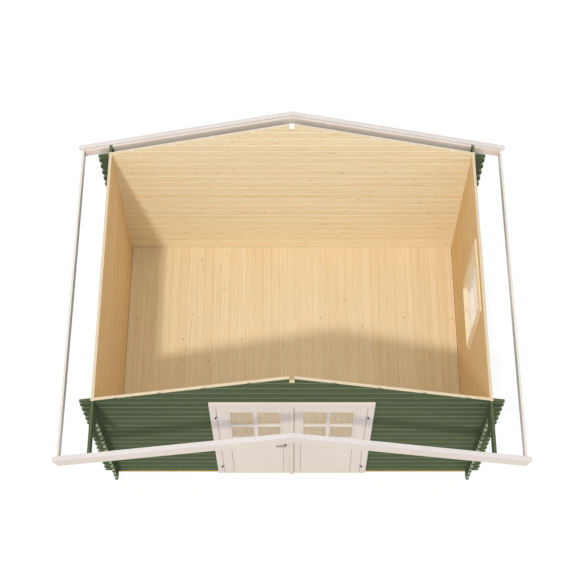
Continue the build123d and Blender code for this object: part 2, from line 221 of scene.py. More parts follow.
fill_light = sky.nodes.new("ShaderNodeBackground")
fill_light.inputs["Color"].default_value = SKY_COLOUR
fill_light.inputs["Strength"].default_value = SKY_STRENGTH
plain_white = sky.nodes.new("ShaderNodeBackground")
plain_white.inputs["Color"].default_value = WHITE
choice = sky.nodes.new("ShaderNodeMixShader")
sky_out = sky.nodes.new("ShaderNodeOutputWorld")
sky.links.new(seen_rays(sky), choice.inputs[0])
sky.links.new(fill_light.outputs[0], choice.inputs[1])
sky.links.new(plain_white.outputs[0], choice.inputs[2])
sky.links.new(choice.outputs[0], sky_out.inputs["Surface"])
print("sun strength", SUN_STRENGTH, "sky strength", SKY_STRENGTH)

# %% [markdown]
# An effect that several materials share is a node group: a small tree with named inputs and
# outputs that is built once and placed wherever it is wanted. These two helpers make an empty group
# and place a finished one.

# %% Group helpers
NUMBER = "NodeSocketFloat"
VECTOR = "NodeSocketVector"


def new_group(name, inputs, outputs):
    """An empty shader group with named sockets, and its inside ends."""
    group = bpy.data.node_groups.new(name, "ShaderNodeTree")
    for socket, kind in inputs.items():
        group.interface.new_socket(socket, in_out="INPUT", socket_type=kind)
    for socket, kind in outputs.items():
        group.interface.new_socket(socket, in_out="OUTPUT", socket_type=kind)
    start = group.nodes.new("NodeGroupInput")
    end = group.nodes.new("NodeGroupOutput")
    return group, start.outputs, end.inputs


def place(tree, group, **values):
    """A group inside a material, with its inputs joined or set."""
    node = tree.nodes.new("ShaderNodeGroup")
    node.node_tree = group
    for name, value in values.items():
        link(tree, value, node.inputs[name])
    return node.outputs


print("group helpers ready")

# %% [markdown]
# Spruce grain is long and fine. A picture of a board would repeat, so it is worked out instead.
# Noise that is stretched along the board gives broad pale and dark bands, a finer one gives the hair
# lines between them, and a shorter one gives a few warm streaks. A cell pattern with most of its
# cells left out gives the brown knots, with the grain bending round them. Each board has its own
# number, which shifts the pattern so that neighbours never match. Counts are per metre, first along
# the board and then across it, and a range is where a soft step begins and ends.

# %% Grain group
BOARD_SHIFT = 37.0
KNOT_COUNT = (4.5, 9.0)
KNOT_SCATTER = 0.9
KNOT_HEART = (0.04, 0.075)
KNOT_REACH = (0.0, 0.30)
KNOT_BEND = 0.02
KNOT_DENT = 0.5
SWAY_STRETCH = 1.4
SWAY_SCALE = 1.6
SWAY_BEND = 0.05
BAND_COUNT, BAND_RANGE = (0.5, 42.0), (0.30, 0.70)
LINE_COUNT, LINE_RANGE = (2.2, 210.0), (0.35, 0.70)
STREAK_COUNT, STREAK_RANGE = (5.0, 85.0), (0.54, 0.74)


def make_grain():
    """Bands, fine lines, streaks and knots of planed spruce, with the board along the first axis."""
    group, given, result = new_group(
        "spruce_grain",
        {"Along": VECTOR, "Board": NUMBER, "Knots": NUMBER},
        {"Band": NUMBER, "Line": NUMBER, "Streak": NUMBER, "Knot": NUMBER, "Height": NUMBER},
    )
    x, y, z = axes(group, given["Along"])
    shift = product(group, given["Board"], BOARD_SHIFT)
    along = calc(group, "ADD", x, shift)
    across = calc(group, "ADD", y, shift)

    def stretched(count, side, depth):
        """The place on the board, times a count each way."""
        return join(group, product(group, along, count[0]), product(group, side, count[1]), depth)

    cells = group.nodes.new("ShaderNodeTexVoronoi")
    cells.voronoi_dimensions = "2D"
    cells.inputs["Scale"].default_value = 1.0
    cells.inputs["Randomness"].default_value = KNOT_SCATTER
    group.links.new(stretched(KNOT_COUNT, across, 0.0), cells.inputs["Vector"])
    chance = axes(group, cells.outputs["Color"])[0]
    kept = calc(group, "LESS_THAN", chance, given["Knots"])
    near = inverse(group, ramp(group, cells.outputs["Distance"], *KNOT_REACH))
    heart = inverse(group, ramp(group, cells.outputs["Distance"], *KNOT_HEART))
    knot = product(group, heart, kept)

    sway_place = join(group, product(group, along, SWAY_STRETCH), across, shift)
    sway = noise(group, sway_place, SWAY_SCALE, detail=2.0)
    bend = calc(group, "ADD", product(group, sway, SWAY_BEND), product(group, near, kept, KNOT_BEND))
    bent = calc(group, "ADD", across, bend)
    band = noise(group, stretched(BAND_COUNT, bent, z), 1.0, detail=2.0)
    line = noise(group, stretched(LINE_COUNT, bent, z), 1.0, detail=3.0)
    streak = noise(group, stretched(STREAK_COUNT, bent, z), 1.0, detail=2.0)
    group.links.new(ramp(group, band, *BAND_RANGE), result["Band"])
    group.links.new(ramp(group, line, *LINE_RANGE), result["Line"])
    group.links.new(ramp(group, streak, *STREAK_RANGE), result["Streak"])
    group.links.new(knot, result["Knot"])
    height = calc(group, "SUBTRACT", line, product(group, knot, KNOT_DENT))
    group.links.new(height, result["Height"])
    return group


grain = make_grain()
print("group:", grain.name)

# %% [markdown]
# No two logs of a wall have quite the same tone. A stack of logs is one node, so a material for each
# log won't do, and the material has to know which log a point is on. The height above the foot of
# the wall, divided by the height of a course, counts the logs, and white noise turns that count into
# a number of the log's own. Floor boards are counted across the room in the same way.


# %% Board number group
def make_board_number():
    """A random number for each board of a row, from a distance across the row."""
    group, given, result = new_group(
        "board_number", {"Across": NUMBER, "Width": NUMBER, "Row": NUMBER}, {"Board": NUMBER}
    )
    count = calc(group, "FLOOR", calc(group, "DIVIDE", given["Across"], given["Width"]))
    pick = group.nodes.new("ShaderNodeTexWhiteNoise")
    pick.noise_dimensions = "2D"
    group.links.new(join(group, count, given["Row"], 0.0), pick.inputs["Vector"])
    group.links.new(pick.outputs["Value"], result["Board"])
    return group


board_number = make_board_number()
print("group:", board_number.name)

# %% [markdown]
# The sawn end of a log shows growth rings. Cut rings would be far too fine for a mesh, so they are
# drawn: they are circles about a heart that lies somewhere below the log, and a sine of the distance
# to it draws them. The mask keeps them to faces that look along the log.

# %% End ring group
HEART_DRIFT = 0.2
RING_COUNT = 1500.0
END_FACING = (0.75, 0.95)


def make_end_rings():
    """Growth rings on the faces that look along the board."""
    group, given, result = new_group(
        "end_rings",
        {"Along": VECTOR, "Facing": VECTOR, "Board": NUMBER},
        {"Ring": NUMBER, "End": NUMBER},
    )
    across, depth = axes(group, given["Along"])[1:3]
    toward = calc(group, "ABSOLUTE", axes(group, given["Facing"])[0])
    drift = product(group, given["Board"], HEART_DRIFT)
    heart = join(group, calc(group, "ADD", across, drift), calc(group, "ADD", depth, drift), 0.0)
    length = group.nodes.new("ShaderNodeVectorMath")
    length.operation = "LENGTH"
    group.links.new(heart, length.inputs[0])
    wave = calc(group, "SINE", product(group, length.outputs["Value"], RING_COUNT))
    group.links.new(ramp(group, wave, -1.0, 1.0), result["Ring"])
    group.links.new(ramp(group, toward, *END_FACING), result["End"])
    return group


end_rings = make_end_rings()
print("group:", end_rings.name)

# %% [markdown]
# The logs are stained green outside and left bare inside. Faces could be sorted into two slots, but
# the inner face of a log runs on past the corner, where it is stained. So the point's place decides:
# inside the middle of the walls it faces the room. The sawn tops of the walls and the notch for the
# ridge beam are bare too, while the log ends past the corners are stained all round.

# %% Stain group
EDGE_SLACK = 0.004
HAIR = 0.0005
SAWN_UP = 0.9


def make_stain_side():
    """1 where a log is stained, from the point's place and the direction that it faces."""
    group, given, result = new_group(
        "stain_side", {"Place": VECTOR, "Facing": VECTOR}, {"Stained": NUMBER}
    )
    x, y, z = axes(group, given["Place"])
    up = axes(group, given["Facing"])[2]
    away_x = calc(group, "ABSOLUTE", x)
    away_y = calc(group, "ABSOLUTE", y)

    def within(x_limit, y_limit):
        """1 inside a rectangle around the middle of the room."""
        return product(
            group,
            calc(group, "LESS_THAN", away_x, x_limit),
            calc(group, "LESS_THAN", away_y, y_limit),
        )

    indoors = within((room_x + wall_x) / 2, (room_y + wall_y) / 2)
    roof = calc(group, "SUBTRACT", ridge - EDGE_SLACK, product(group, away_x, math.tan(ROOF_PITCH)))
    sawn = product(
        group,
        calc(group, "GREATER_THAN", up, SAWN_UP),
        calc(group, "GREATER_THAN", z, roof),
        within(wall_x + EDGE_SLACK, wall_y + EDGE_SLACK),
    )
    notch = product(
        group,
        calc(group, "LESS_THAN", away_x, notch_half + HAIR),
        calc(group, "GREATER_THAN", z, notch_floor - HAIR),
    )
    bare = calc(group, "MAXIMUM", calc(group, "MAXIMUM", indoors, sawn), notch)
    group.links.new(inverse(group, bare), result["Stained"])
    return group


stain_side = make_stain_side()
print("group:", stain_side.name)

# %% [markdown]
# The bevels along the V-joints that look up are painted a little paler than the flat of the log,
# and the sawn bevels over the log ends palest: a painted highlight where the sun catches them.
# They could be painted face by face. The direction that the surface faces, with the log along the
# first axis, finds them all at once.

# %% Bevel highlight group
FLAT_UP = (0.85, 0.95)
BEVEL_UP = (0.45, 0.6)
TOWARD_END = (0.3, 0.5)


def make_bevel_highlights():
    """Masks of the upward bevels along a log and over its ends, where a highlight is painted."""
    group, given, result = new_group(
        "bevel_highlights", {"Facing": VECTOR}, {"Edge": NUMBER, "End": NUMBER}
    )
    along, up = axes(group, given["Facing"])[:2]
    flat_top = ramp(group, up, *FLAT_UP)
    bevel = product(group, ramp(group, up, *BEVEL_UP), inverse(group, flat_top))
    over_end = ramp(group, calc(group, "ABSOLUTE", along), *TOWARD_END)
    group.links.new(product(group, bevel, inverse(group, over_end)), result["Edge"])
    group.links.new(product(group, bevel, over_end), result["End"])
    return group


bevel_highlights = make_bevel_highlights()
print("group:", bevel_highlights.name)

# %% [markdown]
# Colours are read off a screen as sRGB numbers, but Blender mixes light in linear values. This
# helper converts them, which is easier to check than linear values typed by hand. Bare spruce is a
# pale honey colour with a slightly darker late-wood tone, and the stain is a grey green. Each
# finish has two tones, one for its lightest and one for its darkest places.


# %% Colours
def srgb(red, green, blue):
    """A screen colour as the linear values that Blender mixes."""
    parts = [v / 255 for v in (red, green, blue)]
    return (*(v / 12.92 if v < 0.04045 else ((v + 0.055) / 1.055) ** 2.4 for v in parts), 1)


SPRUCE_PALE = srgb(249, 238, 210)
SPRUCE_DARK = srgb(234, 211, 167)
# Side walls: deeper tones, a painted shade.
SHADED_SIDE_PALE = srgb(234, 207, 160)
SHADED_SIDE_DARK = srgb(213, 178, 122)
STREAK_ORANGE = srgb(226, 184, 124)
# Sawn tops: a greyer tone, painted shade against the strong light on faces that look up.
PAINTED_TOP_SHADE = srgb(211, 193, 166)
# Painted shade at the foot of each log and a painted highlight at its head.
PAINTED_FOOT_SHADE = srgb(204, 166, 110)
PAINTED_HEAD_HIGHLIGHT = srgb(255, 250, 233)
FLOOR_PALE = srgb(241, 226, 195)
FLOOR_DARK = srgb(222, 197, 155)
KNOT_BROWN = srgb(180, 126, 76)
STAIN_GREEN = srgb(94, 104, 78)
STAIN_DEEP = srgb(76, 88, 63)
# Painted highlight on the stain's upward bevels.
STAIN_HIGHLIGHT = srgb(152, 162, 138)
PAINT_WHITE = srgb(229, 217, 208)
PAINT_SHADE = srgb(222, 209, 199)
# Cap strips: a darker white, painted shade on their lit tops.
SHADED_CAP_PALE = srgb(221, 215, 212)
SHADED_CAP_DARK = srgb(214, 206, 202)
# Brighter whites: painted light for the window and faces that daylight leaves too dark.
LIT_PAINT_WHITE = srgb(250, 246, 243)
LIT_PAINT_DARK = srgb(243, 238, 234)
LIT_BATTEN_WHITE = srgb(255, 240, 229)
LIT_BATTEN_DARK = srgb(251, 233, 220)
BEARER_PALE = srgb(196, 168, 96)
BEARER_DARK = srgb(158, 128, 66)
print("colours ready")

# %% [markdown]
# Every material starts the same way: a Principled shader, the point's own place on the piece, and
# a bump that turns a height into small relief. The colour of bare spruce is built up in layers, as
# each can then be made stronger or weaker alone: bands, fine lines, a tone of the board's own,
# streaks, and knots on top. A board's grain runs along its length, so each material takes the axes
# of the cabin in an order that puts the length first.

# %% Material helpers
ALONG_X = (0, 2, 1)
ALONG_Y = (1, 2, 0)
ALONG_Z = (2, 0, 1)
BAND_SHARE = 0.45
LINE_SHARE = 0.30
TONE_SHARE = 0.30
STREAK_SHARE = 0.40
KNOT_SHARE = 0.7


def nodes_in_slot(slot):
    """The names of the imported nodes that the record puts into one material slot."""
    return [part["node"] for part in frame["record"]["subparts"] if part["material_slot"] == slot]


def new_material(name, roughness, specular):
    """A node material with a Principled shader, and its tree and shader."""
    material = bpy.data.materials.new(name)
    material.use_nodes = True
    shader = material.node_tree.nodes["Principled BSDF"]
    shader.inputs["Roughness"].default_value = roughness
    shader.inputs["Specular IOR Level"].default_value = specular
    return material, material.node_tree, shader


def surface_place(tree):
    """The point on the piece, in the cabin's own frame."""
    return tree.nodes.new("ShaderNodeTexCoord").outputs["Object"]


def reorder(tree, vector, order):
    """The same vector with its parts in another order, so that the board runs along the first."""
    parts = axes(tree, vector)
    return join(tree, *(parts[i] for i in order))


def facing(tree):
    """The direction that the surface faces."""
    return tree.nodes.new("ShaderNodeTexCoord").outputs["Normal"]


def bump(tree, shader, height, strength, distance):
    """Small relief from a height, in metres."""
    node = tree.nodes.new("ShaderNodeBump")
    node.inputs["Strength"].default_value = strength
    node.inputs["Distance"].default_value = distance
    link(tree, height, node.inputs["Height"])
    tree.links.new(node.outputs["Normal"], shader.inputs["Normal"])


def timber_colour(tree, cut, board, pale, dark):
    """Bare timber: bands, fine lines, a tone for each board, streaks and knots."""
    body = blend(tree, product(tree, cut["Band"], BAND_SHARE), pale, dark)
    lined = blend(tree, product(tree, cut["Line"], LINE_SHARE), body, dark)
    toned = blend(tree, product(tree, board, TONE_SHARE), lined, dark)
    streaked = blend(tree, product(tree, cut["Streak"], STREAK_SHARE), toned, STREAK_ORANGE)
    return blend(tree, product(tree, cut["Knot"], KNOT_SHARE), streaked, KNOT_BROWN)


def set_material(node_name, material):
    """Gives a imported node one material."""
    mesh = nodes[node_name].data
    mesh.materials.clear()
    mesh.materials.append(material)
    for face in mesh.polygons:
        face.material_index = 0


print("material helpers ready")

# %% [markdown]
# A log's material joins the groups. On the bare side the grain sets the colour, with a painted
# shade at the foot of each log, a painted highlight at its head, and a greyer tone on sawn tops,
# a painted shade that holds back the strong light on faces that look up. Under the stain the
# grain shows only as darker lines, because the stain is thin and takes unevenly on hard and soft
# wood. One material with both sides is used, so that the grain runs on where the finish changes.
# Logs of the end walls run along X and start half a course up. Logs of the side walls run along Y.
# Their tones are deeper, a painted shade for walls that the sun only grazes.

# %% Log materials
LOG_KNOTS = 0.13
RING_SHARE = 0.6
# Where the painted shade at the foot and the painted highlight at the head lie, and how strong.
LOG_FOOT, FOOT_SHADE_SHARE = (0.08, 0.16), 0.25
LOG_HEAD, HEAD_HIGHLIGHT_SHARE = (0.86, 0.92), 0.38
SAWN_TOP, SAWN_SHARE = (0.8, 0.94), 0.75
PATCH_SCALE, PATCH_RANGE, PATCH_SHARE = 1.1, (0.35, 0.75), 0.25
STAIN_LINE_SHARE = 0.45
STAIN_TONE_SHARE = 0.25
# How strong the painted highlight on the bevels is.
BEVEL_HIGHLIGHT_SHARE = 0.35
END_HIGHLIGHT_SHARE = 0.9
GRAIN_RELIEF = 0.001
END_WALL_ROW = 1.0
SIDE_WALL_ROW = 2.0


def bare_side(tree, timber, height, up):
    """Bare timber with painted shade and highlight at the joints, and painted shade on sawn tops."""
    in_course = calc(tree, "FRACT", product(tree, height, 1 / course))
    foot = inverse(tree, ramp(tree, in_course, *LOG_FOOT))
    head = ramp(tree, in_course, *LOG_HEAD)
    # Painted shade at each log's foot, and a painted highlight at its head.
    shaded = blend(tree, product(tree, foot, FOOT_SHADE_SHARE), timber, PAINTED_FOOT_SHADE)
    lit = blend(tree, product(tree, head, HEAD_HIGHLIGHT_SHARE), shaded, PAINTED_HEAD_HIGHLIGHT)
    # Painted shade on sawn tops that look up.
    return blend(tree, product(tree, ramp(tree, up, *SAWN_TOP), SAWN_SHARE), lit, PAINTED_TOP_SHADE)


def stained_side(tree, where, line, board, end_line, highlights):
    """Green stain, deeper in lines, patches and some logs; painted highlight on upward bevels."""
    patchy = ramp(tree, noise(tree, where, PATCH_SCALE, detail=4.0), *PATCH_RANGE)
    green = blend(tree, product(tree, line, STAIN_LINE_SHARE), STAIN_GREEN, STAIN_DEEP)
    green = blend(tree, product(tree, patchy, PATCH_SHARE), green, STAIN_DEEP)
    green = blend(tree, product(tree, board, STAIN_TONE_SHARE), green, STAIN_DEEP)
    green = blend(tree, end_line, green, STAIN_DEEP)
    # Painted highlight on the upward bevels.
    edge = product(tree, highlights["Edge"], BEVEL_HIGHLIGHT_SHARE)
    end = product(tree, highlights["End"], END_HIGHLIGHT_SHARE)
    return blend(tree, calc(tree, "ADD", edge, end), green, STAIN_HIGHLIGHT)


def make_log_material(name, order, row_start, row, bare_pale, bare_dark):
    """Stained outside and bare inside, with the grain along one axis of the cabin."""
    material, tree, shader = new_material(name, roughness=0.8, specular=0.0)
    where = surface_place(tree)
    way = facing(tree)
    along = reorder(tree, where, order)
    turned = reorder(tree, way, order)
    height = calc(tree, "SUBTRACT", axes(tree, where)[2], row_start)
    board = place(tree, board_number, Across=height, Width=course, Row=row)["Board"]
    cut = place(tree, grain, Along=along, Board=board, Knots=LOG_KNOTS)
    rings = place(tree, end_rings, Along=along, Facing=turned, Board=board)
    highlights = place(tree, bevel_highlights, Facing=turned)
    stained = place(tree, stain_side, Place=where, Facing=way)["Stained"]

    end_line = product(tree, rings["Ring"], rings["End"], RING_SHARE)
    timber = timber_colour(tree, cut, board, bare_pale, bare_dark)
    timber = blend(tree, end_line, timber, bare_dark)
    bare = bare_side(tree, timber, height, axes(tree, way)[2])
    green = stained_side(tree, where, cut["Line"], board, end_line, highlights)
    tree.links.new(blend(tree, stained, bare, green), shader.inputs["Base Color"])
    bump(tree, shader, cut["Height"], strength=0.3, distance=GRAIN_RELIEF)
    return material


end_logs = make_log_material(
    "end_wall_logs", ALONG_X, base + course / 2, END_WALL_ROW, SPRUCE_PALE, SPRUCE_DARK
)
# The side walls take the deeper tones, as painted shade.
side_logs = make_log_material(
    "side_wall_logs", ALONG_Y, base, SIDE_WALL_ROW, SHADED_SIDE_PALE, SHADED_SIDE_DARK
)
log_nodes = nodes_in_slot("log_wood")
for name in log_nodes:
    set_material(name, side_logs if name.startswith(("left_", "right_")) else end_logs)
print("log nodes:", len(log_nodes))

# %% [markdown]
# The roof-edge boards, the doors and the window's sash are painted a warm white. One plain white
# would look like plastic. Paint that is brushed on along a board keeps faint strokes in that
# direction and drifts a little in tone, so each board gets the paint that runs its own way. The cap
# strips have a cooler white of their own, set darker as painted shade, because their tops catch
# more light than the faces below. A brighter paint, called lit paint here, is painted light: it
# keeps the window's white from going grey in shade and, later on, lightens a few faces that
# plain daylight leaves too dark.

# %% White paint
PAINT_ROUGHNESS = 0.4
STROKE_ROUGHNESS = 0.15
STROKE_COUNT = (3.0, 150.0)
STROKE_RANGE, STROKE_SHARE = (0.4, 0.7), 0.4
STROKE_RELIEF = 0.0006
DRIFT_SCALE, DRIFT_RANGE, DRIFT_SHARE = 2.2, (0.3, 0.7), 0.6


def make_paint(name, order, pale=PAINT_WHITE, dark=PAINT_SHADE):
    """Brushed white paint, with the strokes along one axis."""
    material, tree, shader = new_material(name, roughness=PAINT_ROUGHNESS, specular=0.35)
    where = surface_place(tree)
    along, across, depth = axes(tree, reorder(tree, where, order))
    length_count, side_count = STROKE_COUNT
    sides = [product(tree, side, side_count) for side in (across, depth)]
    stroke = noise(tree, join(tree, product(tree, along, length_count), *sides), 1.0, detail=3.0)
    drift = ramp(tree, noise(tree, where, DRIFT_SCALE, detail=4.0), *DRIFT_RANGE)
    stroke_tone = product(tree, ramp(tree, stroke, *STROKE_RANGE), STROKE_SHARE)
    tone = calc(tree, "ADD", product(tree, drift, DRIFT_SHARE), stroke_tone)
    tree.links.new(blend(tree, tone, pale, dark), shader.inputs["Base Color"])
    roughness = calc(tree, "ADD", PAINT_ROUGHNESS, product(tree, stroke, STROKE_ROUGHNESS))
    tree.links.new(roughness, shader.inputs["Roughness"])
    bump(tree, shader, stroke, strength=0.15, distance=STROKE_RELIEF)
    return material


paint = {
    "x": make_paint("paint_along_x", ALONG_X),
    "y": make_paint("paint_along_y", ALONG_Y),
    "z": make_paint("paint_along_z", ALONG_Z),
}
# Cap strips: painted shade in a darker white.
shaded_cap_paint = make_paint("shaded_cap_paint", ALONG_X, SHADED_CAP_PALE, SHADED_CAP_DARK)
# Brighter whites: painted light.
lit_paint = {
    "x": make_paint("lit_paint_along_x", ALONG_X, LIT_BATTEN_WHITE, LIT_BATTEN_DARK),
    "y": make_paint("lit_paint_along_y", ALONG_Y, LIT_PAINT_WHITE, LIT_PAINT_DARK),
    "z": make_paint("lit_paint_along_z", ALONG_Z, LIT_PAINT_WHITE, LIT_PAINT_DARK),
}
white_nodes = nodes_in_slot("white_wood")
for name in white_nodes:
    if name.endswith("eaves_board"):
        set_material(name, paint["y"])
    elif name.endswith("cap_strip"):
        set_material(name, shaded_cap_paint)
    elif "roof_battens" in name or "barge_board" in name:
        set_material(name, paint["x"])
    elif name.startswith("window"):
        # The window's pieces get the brighter white, as painted light.
        set_material(name, lit_paint["z"])
    else:
        set_material(name, paint["z"])
print("painted nodes:", len(white_nodes))

# %% [markdown]
# A door leaf and the door frame are each one node with upright and level members, and brush strokes
# that ran across a rail would look wrong. A rail lies between the stiles and a head lies over the
# doorway, so the place of each face tells which way its board runs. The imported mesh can't be split,
# but its faces can go into a second material slot.

# %% Painted rails and heads
RAIL_REACH = 0.2
door_foot_z, door_head_z = (corner[2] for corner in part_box("left_door_leaf"))
sash_low, sash_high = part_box("window_sash")


def add_slot(node_name, material, is_chosen):
    """Puts the faces whose middle is chosen into one more material slot."""
    mesh = nodes[node_name].data
    mesh.materials.append(material)
    for face in mesh.polygons:
        if is_chosen(face.center):
            face.material_index = len(mesh.materials) - 1


for door in ("left_door", "right_door"):
    pane_low, pane_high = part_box(f"{door}_glass")
    add_slot(f"{door}_leaf", paint["x"], lambda p: pane_low[0] < p.x < pane_high[0])
for name in ("door_frame", "door_stops"):
    add_slot(name, paint["x"], lambda p: p.z > door_head_z or p.z < door_foot_z)
sash_middle = (sash_low[1] + sash_high[1]) / 2
for name in ("window_sash", "window_outer_casing"):
    add_slot(name, lit_paint["y"], lambda p: abs(p.y - sash_middle) < RAIL_REACH)
print("rails and heads painted along their length")

# %% [markdown]
# In the picture, the faces of the eaves boards and battens that look toward the walls are lighter
# than this daylight leaves them, and so is the top of the door frame. More light would bleach the
# rest, so only these faces get one more slot, with the brighter paint, painted light matched to the picture.

# %% Brighter faces
FACE_REACH = 0.003
for end, inner in (("front", 1), ("back", 0)):
    face_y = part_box(f"{end}_roof_battens")[inner][1]
    add_slot(f"{end}_roof_battens", lit_paint["x"], lambda p: abs(p.y - face_y) < FACE_REACH)
for side, inner in (("left", 1), ("right", 0)):
    face_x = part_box(f"{side}_eaves_board")[inner][0]
    add_slot(f"{side}_eaves_board", lit_paint["y"], lambda p: abs(p.x - face_x) < FACE_REACH)
frame_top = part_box("door_frame")[1][2]
add_slot("door_frame", lit_paint["x"], lambda p: abs(p.z - frame_top) < FACE_REACH)
print("faces toward the walls brightened")

# %% [markdown]
# The casings inside and the bearers below are bare timber, so they only need the grain group. Their
# heads and sills get a second slot with level grain, in the same way as the painted heads. The
# bearers lie on the ground and are of a yellower timber.

# %% Bare timber
TIMBER_WIDTH = 0.4
TIMBER_ROW = 3.0
TIMBER_KNOTS = 0.15


def make_timber(name, order, pale=SPRUCE_PALE, dark=SPRUCE_DARK):
    """Planed timber with its grain along one axis."""
    material, tree, shader = new_material(name, roughness=0.6, specular=0.1)
    along = reorder(tree, surface_place(tree), order)
    across = axes(tree, along)[1]
    board = place(tree, board_number, Across=across, Width=TIMBER_WIDTH, Row=TIMBER_ROW)["Board"]
    cut = place(tree, grain, Along=along, Board=board, Knots=TIMBER_KNOTS)
    tree.links.new(timber_colour(tree, cut, board, pale, dark), shader.inputs["Base Color"])
    bump(tree, shader, cut["Height"], strength=0.3, distance=GRAIN_RELIEF)
    return material


upright_timber = make_timber("upright_timber", ALONG_Z)
level_timber_x = make_timber("level_timber_x", ALONG_X)
level_timber_y = make_timber("level_timber_y", ALONG_Y)
bearer_timber = make_timber("bearer_timber", ALONG_X, BEARER_PALE, BEARER_DARK)

for name, level_timber, low, high in (
    ("window_lining", level_timber_y, sash_low[2], sash_high[2]),
    ("window_inner_casing", level_timber_y, sash_low[2], sash_high[2]),
    ("door_inner_casing", level_timber_x, base, door_head_z),
):
    set_material(name, upright_timber)
    add_slot(name, level_timber, lambda p: not low < p.z < high)
set_material("ground_bearers", bearer_timber)
print("timber nodes dressed")

# %% [markdown]
# The hinge straps and the lever are polished metal. The knuckles round the pins are given a
# near-black metal, a painted dark reflection of the shade that polished steel would mirror.
# Uneven roughness, as from handling, keeps the reflections from looking like a perfect mirror. A
# strap and its knuckle are one node, so the faces past the edge of the door get the dark slot, and
# so does the neck of the lever.

# %% Metal
STRAP_TONES = srgb(222, 221, 221), srgb(208, 208, 210)
LEVER_TONES = srgb(176, 175, 176), srgb(156, 155, 157)
DARK_REFLECTION_TONES = srgb(62, 60, 60), srgb(44, 42, 42)
SMEAR_SCALE, SMEAR_RANGE = 90.0, (0.35, 0.65)
METAL_ROUGHNESS = 0.14
SMEAR_ROUGHNESS = 0.16
NECK_SHARE = 0.3


def make_metal(name, pale, dark):
    """Metal with a smeared sheen."""
    material, tree, shader = new_material(name, roughness=METAL_ROUGHNESS, specular=0.5)
    smear = noise(tree, surface_place(tree), SMEAR_SCALE, detail=3.0)
    tone = blend(tree, ramp(tree, smear, *SMEAR_RANGE), pale, dark)
    tree.links.new(tone, shader.inputs["Base Color"])
    shader.inputs["Metallic"].default_value = 1.0
    roughness = calc(tree, "ADD", METAL_ROUGHNESS, product(tree, smear, SMEAR_ROUGHNESS))
    tree.links.new(roughness, shader.inputs["Roughness"])
    return material


metal = make_metal("polished_metal", *STRAP_TONES)
lever_metal = make_metal("lever_metal", *LEVER_TONES)
# Near-black metal: a painted dark reflection on the knuckles, pins and the lever's neck.
dark_reflection_metal = make_metal("dark_reflection_metal", *DARK_REFLECTION_TONES)
metal_nodes = nodes_in_slot("hardware")
for name in metal_nodes:
    set_material(name, metal)
set_material("frame_hinge_pins", dark_reflection_metal)
leaf_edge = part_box("right_door_leaf")[1][0]
for name in ("left_door_hinge_straps", "right_door_hinge_straps"):
    add_slot(name, dark_reflection_metal, lambda p: abs(p.x) > leaf_edge)
lever_low, lever_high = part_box("left_door_handle")
neck_x = lever_high[0] - NECK_SHARE * (lever_high[0] - lever_low[0])
set_material("left_door_handle", lever_metal)
add_slot("left_door_handle", dark_reflection_metal, lambda p: p.x > neck_x)
print("metal nodes:", metal_nodes)

# %% [markdown]
# The panes are clear and nearly flat. A see-through alpha would lose their mirror image, so the
# shader's transmission is used, and a very slight waviness in the relief breaks up reflections. The
# window bends and mirrors light as glass does. The panes of the doors hardly mirror anything in the
# picture, so theirs are set weaker than real glass. Those two values are matched to the picture.

# %% Panes
PANE_TINT = (0.96, 0.98, 0.97, 1)
WAVE_SCALE = 4.0
WAVE_RELIEF = 0.001
DOOR_BEND, DOOR_SHINE = 1.2, 0.15
WINDOW_BEND, WINDOW_SHINE = 1.5, 0.5


def make_pane(name, bend, shine):
    """A clear pane that bends light by a given amount."""
    material, tree, shader = new_material(name, roughness=0.02, specular=shine)
    shader.inputs["Base Color"].default_value = PANE_TINT
    shader.inputs["IOR"].default_value = bend
    shader.inputs["Transmission Weight"].default_value = 1.0
    wave = noise(tree, surface_place(tree), WAVE_SCALE, detail=1.0)
    bump(tree, shader, wave, strength=0.02, distance=WAVE_RELIEF)
    return material


door_pane = make_pane("door_pane", DOOR_BEND, DOOR_SHINE)
for name in ("left_door_glass", "right_door_glass"):
    set_material(name, door_pane)
set_material("window_glass", make_pane("window_pane", WINDOW_BEND, WINDOW_SHINE))
print("panes in the doors and the window")

# %% [markdown]
# Sawn boards are never razor sharp. A Bevel modifier rounds the edges of the painted boards and
# the metal, and a Weld modifier before it joins the faces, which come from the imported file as
# separate sheets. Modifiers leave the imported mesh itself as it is.

# %% Softened edges
WELD = 0.00002
TRIM_EDGE = 0.002
METAL_EDGE = 0.0008
EDGE_STEPS = 2
SHARP_ANGLE = math.radians(35)


def soften(node_name, width):
    """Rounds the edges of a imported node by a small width."""
    weld = nodes[node_name].modifiers.new("join_faces", "WELD")
    weld.merge_threshold = WELD
    bevel = nodes[node_name].modifiers.new("soft_edges", "BEVEL")
    bevel.width = width
    bevel.segments = EDGE_STEPS
    bevel.limit_method = "ANGLE"
    bevel.angle_limit = SHARP_ANGLE


bare_nodes = ["window_lining", "window_inner_casing", "door_inner_casing", "ground_bearers"]
for name in white_nodes + bare_nodes:
    soften(name, TRIM_EDGE)
for name in metal_nodes:
    soften(name, METAL_EDGE)
print("softened edges")

# %% [markdown]
# The fine boards and bars are straight lengths of one section. Scaled cubes would have sharp edges,
# so one helper carries a flat outline along an axis, and another gives a rectangle with its corners
# taken off.


# %% Mesh helpers
def bevelled(a_span, b_span, bevel):
    """A rectangle with its corners cut, as points in the two axes across the bar."""
    (a0, a1), (b0, b1) = a_span, b_span
    return [
        (a0 + bevel, b0), (a1 - bevel, b0), (a1, b0 + bevel), (a1, b1 - bevel),
        (a1 - bevel, b1), (a0 + bevel, b1), (a0, b1 - bevel), (a0, b0 + bevel),
    ]


